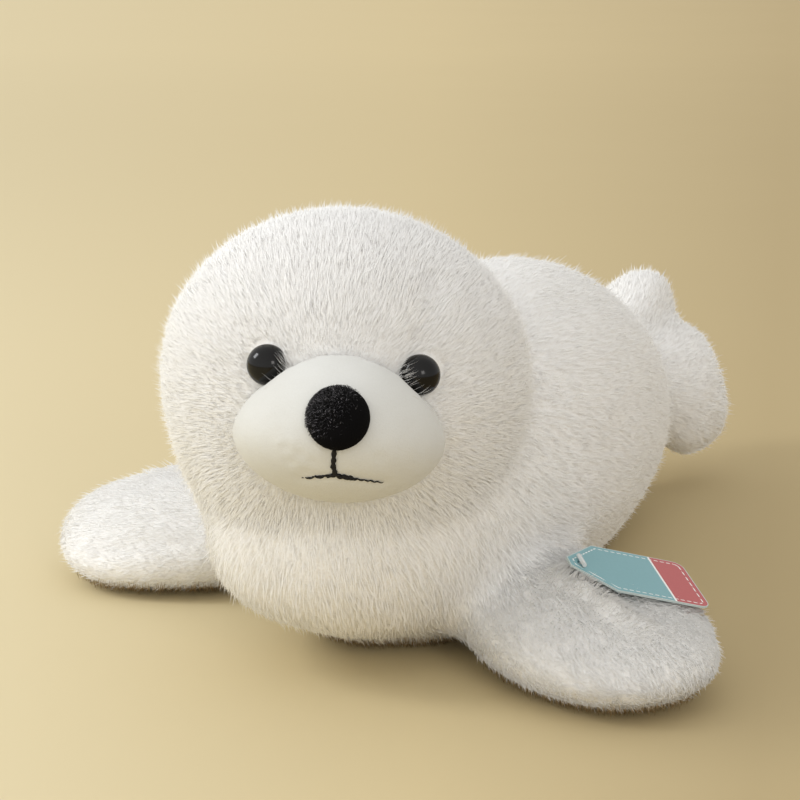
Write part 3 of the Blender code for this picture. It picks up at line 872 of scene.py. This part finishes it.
face_side = Vector((0.0, 0.0, 1.0)).cross(face_way).normalized()
mouth_line = middle_line("mouth_stitch", np.array(face_side), 28)[1:-1]
lip_line = middle_line("lip_stitch", np.array((0.0, 0.0, 1.0)), 4)
mouth_line -= np.array((0.0, 0.0, MOUTH_DROP))
lip_line += np.array(LIP_SHIFT)
press_points = kdtree.KDTree(len(mouth_line) + len(lip_line))
for index, place in enumerate(np.concatenate([mouth_line, lip_line])):
    press_points.insert(Vector(place), index)
press_points.balance()
print("mouth from", mouth_line[0].round(4), "to", mouth_line[-1].round(4))

# %% Press the muzzle
MOUTH_DEPTH, MOUTH_SPREAD = 0.0008, 0.0032
DIMPLE_DEPTH, DIMPLE_SPREAD = 0.0004, 0.0022
SEAM_SHADE_REACH, SEAM_SHADE_SHARE = 0.0016, 0.3
DIMPLES = [
    (0.0186, -0.1151, 0.1210), (0.0248, -0.1144, 0.1189), (0.0198, -0.1135, 0.1153),
    (0.0291, -0.1128, 0.1163), (0.0249, -0.1110, 0.1114), (0.0511, -0.0994, 0.1175),
]
for corner in muzzle.data.vertices:
    distance = press_points.find(corner.co)[2]
    depth = MOUTH_DEPTH * math.exp(-((distance / MOUTH_SPREAD) ** 2))
    for dimple in DIMPLES:
        reach = (corner.co - Vector(dimple)).length
        depth += DIMPLE_DEPTH * math.exp(-((reach / DIMPLE_SPREAD) ** 2))
    corner.co -= corner.normal * depth
muzzle.data.update()
muzzle_places, muzzle_normals, muzzle_triangles = mesh_arrays(muzzle.data)
to_head = distances(node_tree("head"), muzzle_places)
# Painted shade: the muzzle turns tan within a short reach of the head's skin, where the crease falls.
seam_shade_layer = muzzle.data.attributes.new("seam_shade", "FLOAT", "POINT")
seam_shade_layer.data.foreach_set(
    "value", (SEAM_SHADE_SHARE * np.clip(1.0 - to_head / SEAM_SHADE_REACH, 0.0, 1.0)).astype(np.float32)
)
finished(muzzle, short_pile, ["muzzle"])

# %% [markdown]
# ## The nose
#
# The nose is a velvet pad. Its short black fibres stand up, so a few thousand tiny hairs grow on
# it, some of them greyer. They gather on the side that faces the window: a painted highlight.

# %% Nose
NOSE_SHARE = 0.94
NOSE_SHIFT = (-0.0004, -0.0002, -0.0012)
black_velvet = clipped_material(
    "black_velvet", (0.002, 0.002, 0.002), (0.005, 0.0045, 0.005), 2200.0, 0.6, 0.0, specular=0.06
)
nose = welded("nose_pad", ["nose"])
remesh(nose, 0.0012)
relax(nose, 3, 0.0003)
nose_low, nose_high = (Vector(corner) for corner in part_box("nose"))
widened(nose, (nose_low + nose_high) / 2, NOSE_SHARE, NOSE_SHIFT)
finished(nose, black_velvet, ["nose"])


def fibre_material():
    made, shader = new_material("velvet_fibre", 0.7)
    own = carried(made, "own")
    grey = colour_ramp(made, own, [(0.55, (0.004, 0.004, 0.004)), (0.8, (0.05, 0.048, 0.055)),
                                   (1.0, (0.22, 0.21, 0.23))])
    put(made, shader.inputs["Base Color"], grey)
    shader.inputs["Specular IOR Level"].default_value = 0.3
    return made


velvet_fibre = fibre_material()
WINDOW_SIDE = (-0.62, -0.20, 0.76)


def grow_fibres(count, length, width, seed):
    draw = np.random.default_rng(seed)
    places, normals, triangles = mesh_arrays(nose.data)
    outer = (distances(node_tree("muzzle"), places) > 0.0002)[triangles].all(axis=1)
    # Painted highlight: the fibres, some of them grey, gather on the side that faces the window.
    painted_glint = np.clip(normals @ np.array(WINDOW_SIDE), 0.02, 1.0) ** 2
    corners, mix = scatter(triangles, areas(places, triangles) * outer * painted_glint[triangles[:, 0]], count, draw)
    roots = (places[corners] * mix).sum(axis=1)
    facing = unit((normals[corners] * mix).sum(axis=1))
    way = unit(drift(roots, 0.004, seed) + draw.normal(0.0, 0.25, (count, 3)) + np.array([0.0, 0.0, -0.3]))
    way = unit(way - (way * facing).sum(axis=1, keepdims=True) * facing)
    reach = length * draw.uniform(0.6, 1.2, (count, 1))
    bends = roots + reach * HAIR_BELLY * (0.8 * facing + 0.6 * way)
    tips = bends + reach * (1.0 - HAIR_BELLY) * (0.35 * facing + 0.94 * way)
    widths = width * draw.uniform(0.6, 1.3, count)
    return hair_piece(
        "nose_fibres", roots - facing * 0.0002, bends, tips, widths, facing,
        draw.random(count), velvet_fibre,
    )


grow_fibres(2200, 0.0015, 0.00018, 41)

# %% [markdown]
# ## The mouth
#
# The mouth is a two-ply black thread: one short upright run under the nose and one long run
# across. Its two plies make it bulge and twist, so the tube's radius follows the twist. The
# long run is thick beside the middle and thin towards both ends, and on the pup's right it dips
# into the pile between stitches.


# %% Thread
def thread_material():
    made, shader = new_material("black_thread", 0.75)
    fibre = mottle(made, 4000.0, 3.0)
    put(made, shader.inputs["Base Color"],
        colour_ramp(made, fibre, [(0.3, (0.004, 0.0035, 0.003)), (0.8, (0.016, 0.014, 0.013))]))
    bumped(made, shader, fibre, 0.5, 0.0002)
    shader.inputs["Specular IOR Level"].default_value = 0.3
    return made


black_thread = thread_material()
muzzle_form = bmesh.new()
muzzle_form.from_mesh(muzzle.data)
muzzle_tree = BVHTree.FromBMesh(muzzle_form)


def smooth_run(points, step):
    """More points along a run, evenly spaced, on a curve through the given ones."""
    points = np.array(points)
    reach = np.concatenate([[0.0], np.cumsum(np.linalg.norm(np.diff(points, axis=0), axis=1))])
    wanted = np.linspace(0.0, reach[-1], max(int(reach[-1] / step), 2))
    run = np.stack([np.interp(wanted, reach, points[:, axis]) for axis in range(3)], axis=1)
    for _ in range(4):
        run[1:-1] = 0.5 * run[1:-1] + 0.25 * (run[:-2] + run[2:])
    return run


def thread(name, node_name, points, radius_at, lift_at, segments=12):
    """A twisted tube along points that are laid on the muzzle."""
    run = smooth_run(points, 0.00028)
    total = len(run)
    middles, ups = [], []
    for index, place in enumerate(run):
        near, normal, face, distance = muzzle_tree.find_nearest(Vector(place))
        middles.append(near + normal * lift_at(index / (total - 1)))
        ups.append(normal)
    form = bmesh.new()
    ring = bmesh.ops.create_circle(form, cap_ends=False, segments=segments, radius=1.0)["verts"]
    shape = [corner.co.copy() for corner in ring]
    edges = list(form.edges)
    for index in range(total):
        ahead = middles[min(index + 1, total - 1)] - middles[max(index - 1, 0)]
        side = ahead.cross(ups[index]).normalized()
        up = side.cross(ahead).normalized()
        if index:
            grown = bmesh.ops.extrude_edge_only(form, edges=edges)["geom"]
            edges = [part for part in grown if isinstance(part, bmesh.types.BMEdge)]
            ring = [part for part in grown if isinstance(part, bmesh.types.BMVert)]
        radius = radius_at(index / (total - 1))
        turn = index * 0.30
        for corner, flat in zip(ring, shape):
            angle = math.atan2(flat.y, flat.x)
            bulge = radius * (1.0 + 0.20 * math.cos(2.0 * (angle - turn)))
            corner.co = middles[index] + (side * math.cos(angle) + up * math.sin(angle)) * bulge
    bmesh.ops.holes_fill(form, edges=form.edges, sides=segments)
    bmesh.ops.recalc_face_normals(form, faces=form.faces)
    piece = placed(name, form)
    print(name, "is", round(float(np.linalg.norm(np.diff(run, axis=0), axis=1).sum()) * 1000, 1), "mm long")
    return finished(piece, black_thread, [node_name])


THREAD_RADIUS = 0.00090
MOUTH_PLACES = [0.0, 0.12, 0.38, 0.56, 0.64, 0.94, 1.0]
MOUTH_THICKNESS = [0.2, 0.45, 1.0, 1.0, 0.36, 0.28, 0.1]
DASHES_END = 0.38


def mouth_radius(share):
    """Thin at both ends, thickest beside the middle; share runs from the pup's right to its left."""
    return THREAD_RADIUS * float(np.interp(share, MOUTH_PLACES, MOUTH_THICKNESS))


def mouth_lift(share):
    """How far the thread stands off the muzzle; it dips between the dashes."""
    dash = max(0.0, math.sin(share * 52.0)) if share < DASHES_END else 0.0
    return 0.0004 - 0.0008 * dash


# %% [markdown]
# ## The eyes
#
# Each eye is a moulded black dome with a hard gloss. Some of the coat's hairs lie over the side
# that is next to the muzzle, so a small tuft is laid over each dome there.

# %% Eye gloss
def gloss_material():
    made, shader = new_material("eye_gloss", 0.1, (0.003, 0.0028, 0.0028))
    smudge = colour_ramp(made, mottle(made, 180.0), [(0.3, (0.10,) * 3), (0.8, (0.17,) * 3)])
    put(made, shader.inputs["Roughness"], smudge)
    shader.inputs["Specular IOR Level"].default_value = 0.3
    return made


eye_gloss = gloss_material()


def moulded_eye(name):
    """A low dome, closed at the back."""
    rim, outward = eye_seats[name]
    form = bmesh.new()
    bmesh.ops.create_uvsphere(form, u_segments=48, v_segments=24, radius=1.0)
    bmesh.ops.scale(form, vec=(EYE_RADIUS, EYE_RADIUS, EYE_DOME), verts=form.verts)
    bmesh.ops.bisect_plane(
        form, geom=form.verts[:] + form.edges[:] + form.faces[:], dist=1e-6,
        plane_co=(0, 0, -0.0010), plane_no=(0, 0, -1), clear_outer=True,
    )
    bmesh.ops.contextual_create(form, geom=[edge for edge in form.edges if edge.is_boundary])
    place = Matrix.Translation(rim) @ outward.to_track_quat("Z", "Y").to_matrix().to_4x4()
    bmesh.ops.transform(form, matrix=place, verts=form.verts)
    piece = placed(name + "_dome", form)
    return finished(piece, eye_gloss, [name])


# %% Tufts over the eyes
def eye_tuft(name, count, around, seed):
    """Hairs that root beside the rim towards the muzzle and lie over the dome."""
    rim, outward = (np.array(part) for part in eye_seats[name])
    draw = np.random.default_rng(seed)
    inner = np.array(muzzle_middle) - rim
    inner -= outward * (inner @ outward)
    inner /= np.linalg.norm(inner)
    other = np.cross(outward, inner)
    turn = draw.normal(around, 0.5, count)
    start = np.stack([np.cos(turn), np.sin(turn)], axis=1)
    start *= EYE_RADIUS * draw.uniform(1.02, 1.2, (count, 1))
    reach = draw.uniform(0.003, 0.0085, count)
    heading = draw.normal(0.0, 0.16, count)
    step = np.stack([-np.cos(heading), np.sin(heading) + 0.12], axis=1) * reach[:, None]

    def above(flat, lift):
        radius = np.linalg.norm(flat, axis=1) / EYE_RADIUS
        height = EYE_DOME * np.sqrt(np.clip(1.0 - radius ** 2, 0.0, 1.0)) + lift
        return rim + flat[:, :1] * inner + flat[:, 1:] * other + height[:, None] * outward

    roots = above(start, draw.uniform(-0.0012, 0.0, count))
    bends = above(start + step * HAIR_BELLY, draw.uniform(0.0004, 0.0010, count))
    tips = above(start + step, draw.uniform(0.0002, 0.0008, count))
    facing = np.repeat(outward[None], count, axis=0)
    widths = 0.00011 * draw.uniform(0.6, 1.3, count)
    return hair_piece(
        name + "_tuft", roots, bends, tips, widths, facing, draw.random(count), white_pile,
    )


for number, (name, around) in enumerate((("left_eye", -0.1), ("right_eye", 0.6))):
    moulded_eye(name)
    eye_tuft(name, 40, around, 51 + number)

# %% [markdown]
# The mouth's threads are laid last, because they touch the nose: the upright run starts under
# the nose pad's edge and ends in the long run.

# %% Mouth threads
lip_top, lip_base = lip_line[-1], lip_line[0]
lip_way = (lip_top - lip_base) / np.linalg.norm(lip_top - lip_base)
crossing = mouth_line[np.argmin(np.linalg.norm(mouth_line - lip_base, axis=1))]
thread(
    "philtrum_thread", "lip_stitch", [lip_top + lip_way * 0.0045, lip_top, lip_base, crossing],
    lambda share: THREAD_RADIUS, lambda share: 0.0002,
)
thread("mouth_thread", "mouth_stitch", mouth_line, mouth_radius, mouth_lift)

# %% [markdown]
# The washers behind the eyes are moulded plastic and never show from outside.

# %% Washers
washer_white, washer_shader = new_material("washer_white", 0.5)
washer_tone = colour_ramp(
    washer_white, mottle(washer_white, 300.0), [(0.3, (0.72, 0.72, 0.69)), (0.7, (0.76, 0.76, 0.73))]
)
put(washer_white, washer_shader.inputs["Base Color"], washer_tone)


def redress(name, material):
    """Give a node that stays its finish, in its material slots."""
    for part in nodes[name].material_slots:
        part.link = "OBJECT"
        part.material = material


for name in ("left_eye_washer", "right_eye_washer"):
    redress(name, washer_white)

# %% [markdown]
# ## Hang tag
#
# The tag is coated card with a blue field and a red field, a thin white line between them and a
# white dashed line inside its edge. The fields are drawn from the card's own flat coordinates:
# x runs from the narrow end, and y from the middle.

# %% Tag shape
TAG_TURN = math.radians(43)
TAG_DIP = math.radians(15.5)
TAG_LEAN = math.radians(10.5)
TAG_CORNER = 0.005
TAG_TIP_HALF = 0.0035
TAG_JOIN = 0.0440

tag_turn = (Matrix.Rotation(TAG_TURN, 4, "Z") @ Matrix.Rotation(TAG_DIP, 4, "Y")
            @ Matrix.Rotation(TAG_LEAN, 4, "X"))
tag = welded("tag_card", ["hang_tag"])
flat = np.array([tuple(tag_turn.inverted() @ corner.co) for corner in tag.data.vertices])
tag_low, tag_size = flat.min(axis=0), np.ptp(flat, axis=0)
flat -= tag_low + tag_size * np.array([0.0, 0.5, 0.5])
card_layer = tag.data.attributes.new("card", "FLOAT_VECTOR", "POINT")
card_layer.data.foreach_set("vector", flat.astype(np.float32).ravel())
print("tag measures", tag_size.round(4))


# %% Tag finish
JOIN_HALF = 0.0005
STITCH_INSET, STITCH_STEP, STITCH_HALF = 0.0026, 0.0030, 0.00028
CARD_EDGE = 0.0004
EDGE_TONE = (0.50, 0.58, 0.57)


def card_material():
    made, shader = new_material("tag_card", 0.38)
    card = carried(made, "card", "Vector")
    parts = add_node(made, "ShaderNodeSeparateXYZ", Vector=card)
    x, y = parts.outputs["X"], parts.outputs["Y"]
    across = calc(made, "ABSOLUTE", y)
    half = 0.5 * float(tag_size[1])
    corner_x = calc(made, "SUBTRACT", x, float(tag_size[0]) - TAG_CORNER)
    corner_y = calc(made, "SUBTRACT", across, half - TAG_CORNER)
    out_x, out_y = calc(made, "MAXIMUM", corner_x, 0.0), calc(made, "MAXIMUM", corner_y, 0.0)
    outer = calc(made, "SQRT", calc(made, "ADD", calc(made, "MULTIPLY", out_x, out_x),
                                    calc(made, "MULTIPLY", out_y, out_y)))
    inner = calc(made, "MINIMUM", calc(made, "MAXIMUM", corner_x, corner_y), 0.0)
    square = calc(made, "SUBTRACT", TAG_CORNER, calc(made, "ADD", outer, inner))
    from_slope = calc(made, "SUBTRACT", calc(made, "ADD", x, TAG_TIP_HALF), across)
    slope = calc(made, "MULTIPLY", from_slope, math.sqrt(0.5))
    edge = calc(made, "MINIMUM", calc(made, "MINIMUM", square, slope), x)
    fibre = mottle(made, 700.0, 3.0)
    wear = calc(made, "MULTIPLY_ADD", fibre, 0.10, 0.95)
    blue = scaled(made, (0.170, 0.370, 0.410), wear)
    red = scaled(made, (0.45, 0.066, 0.068), wear)
    white = scaled(made, (0.84, 0.84, 0.82), wear)
    colour = blended(made, calc(made, "GREATER_THAN", x, TAG_JOIN), blue, red)
    from_join = calc(made, "ABSOLUTE", calc(made, "SUBTRACT", x, TAG_JOIN))
    colour = blended(made, calc(made, "LESS_THAN", from_join, JOIN_HALF), colour, white)
    from_stitch = calc(made, "ABSOLUTE", calc(made, "SUBTRACT", edge, STITCH_INSET))
    run = calc(made, "MULTIPLY_ADD", y, 0.62, x)
    beat = calc(made, "FRACT", calc(made, "DIVIDE", run, STITCH_STEP))
    stitch = calc(made, "MULTIPLY", calc(made, "LESS_THAN", from_stitch, STITCH_HALF),
                  calc(made, "LESS_THAN", beat, 0.62))
    colour = blended(made, stitch, colour, white)
    colour = blended(made, calc(made, "LESS_THAN", edge, CARD_EDGE), colour, EDGE_TONE)
    put(made, shader.inputs["Base Color"], colour)
    bumped(made, shader, fibre, 0.15, 0.0002)
    return made


finished(tag, card_material(), ["hang_tag"])
tag.data.shade_flat()


# %% Clear fastener
def clear_material():
    made, shader = new_material("clear_pin", 0.15, (0.93, 0.95, 0.96))
    cloud = colour_ramp(made, mottle(made, 500.0), [(0.3, (0.12,) * 3), (0.8, (0.25,) * 3)])
    put(made, shader.inputs["Roughness"], cloud)
    shader.inputs["Transmission Weight"].default_value = 0.45
    shader.inputs["IOR"].default_value = 1.45
    return made


redress("tag_pin", clear_material())

# %% [markdown]
# ## Floor and light
#
# The pup lies on seamless beige paper. Its colour is painted lighter towards the window on the
# left and far away, and darker to the right: a painted falloff of the window light. A large plain
# room lights it from everywhere, stronger from the left front and a little weaker from above, with
# a soft lamp on each side.


# %% Floor
# Painted light: the paper's colour runs from lit on the left to shaded on the right across the picture.
PAPER_LIT_LEFT = (0.73, 0.628, 0.402)
PAPER_HALF_LIT = (0.655, 0.54, 0.318)
PAPER_SHADED_RIGHT = (0.50, 0.397, 0.222)
PAPER_SPREAD = 0.198


def floor_material():
    made, shader = new_material("floor_paper", 0.85)
    near = add_node(
        made, "ShaderNodeMapping", {"vector_type": "TEXTURE"}, Vector=object_place(made),
        Location=(EYE_POINT.x, EYE_POINT.y, 0.0), Rotation=(0.0, 0.0, AIM_AZIMUTH),
    ).outputs["Vector"]
    parts = add_node(made, "ShaderNodeSeparateXYZ", Vector=near)
    ahead = calc(made, "MAXIMUM", parts.outputs["Y"], 0.3)
    light_falloff = calc(made, "MULTIPLY_ADD", calc(made, "DIVIDE", parts.outputs["X"], ahead),
                 0.5 / PAPER_SPREAD, 0.5)
    light_falloff = calc(made, "MULTIPLY_ADD", mottle(made, 3.0), 0.04, light_falloff)
    tone = colour_ramp(made, light_falloff, [(0.0, PAPER_LIT_LEFT), (0.55, PAPER_HALF_LIT), (1.0, PAPER_SHADED_RIGHT)])
    # Painted light: the paper is painted lighter far away.
    far = mapped(made, parts.outputs["Y"], 1.1, 4.5, 0.93, 1.09)
    put(made, shader.inputs["Base Color"], scaled(made, tone, far))
    shader.inputs["Specular IOR Level"].default_value = 0.1
    return made


floor_form = bmesh.new()
bmesh.ops.create_circle(floor_form, cap_ends=True, segments=96, radius=14.0)
floor = placed("floor", floor_form)
floor.data.materials.append(floor_material())

# %% Room light
WINDOW_WAY = Vector((-0.62, -0.66, 0.36)).normalized()
ROOM_FAR, ROOM_NEAR = 0.77, 1.22
ROOM_TOP = -0.18

room = bpy.data.worlds.new("room")
scene.world = room
room.use_nodes = True
room_way = add_node(room, "ShaderNodeTexCoord").outputs["Generated"]
turned = add_node(room, "ShaderNodeVectorMath", {"operation": "DOT_PRODUCT"})
put(room, turned.inputs[0], room_way)
put(room, turned.inputs[1], tuple(WINDOW_WAY))
half_change, middle_level = 0.5 * (ROOM_NEAR - ROOM_FAR), 0.5 * (ROOM_NEAR + ROOM_FAR)
strength = calc(room, "MULTIPLY_ADD", turned.outputs["Value"], half_change, middle_level)
height = add_node(room, "ShaderNodeSeparateXYZ", Vector=room_way).outputs["Z"]
strength = calc(room, "MULTIPLY_ADD", height, ROOM_TOP, strength)
backdrop = room.node_tree.nodes["Background"]
backdrop.inputs["Color"].default_value = (1.0, 0.985, 0.955, 1.0)
put(room, backdrop.inputs["Strength"], strength)


# %% Lamp
def soft_light(name, place, target, size, power, colour):
    data = bpy.data.lights.new(name, "AREA")
    data.shape = "RECTANGLE"
    data.size, data.size_y = size
    data.energy = power
    data.color = colour
    lamp = bpy.data.objects.new(name, data)
    scene.collection.objects.link(lamp)
    lamp.location = place
    lamp.rotation_mode = "QUATERNION"
    lamp.rotation_quaternion = (Vector(target) - Vector(place)).to_track_quat("-Z", "Y")
    return lamp


soft_light("window", (-1.20, -0.75, 1.15), (0.0, 0.0, 0.08), (0.50, 0.60), 10.0, (0.965, 0.985, 1.0))
soft_light("card", (1.5, -1.2, 0.9), (0.0, 0.0, 0.1), (0.48, 0.48), 4.0, (1.0, 0.97, 0.93))

# %% [markdown]
# ## Finish
#
# The triangles that the script adds are counted, in all and in the largest piece.

# %% Finish
kept_as_it_is = [floor, *nodes.values()]
added = [piece for piece in scene.objects if piece.type == "MESH" and piece not in kept_as_it_is]
counts = {piece.name: sum(len(face.vertices) - 2 for face in piece.data.polygons) for piece in added}
print("triangles in all", sum(counts.values()), "and at most", max(counts.values()), "a piece")
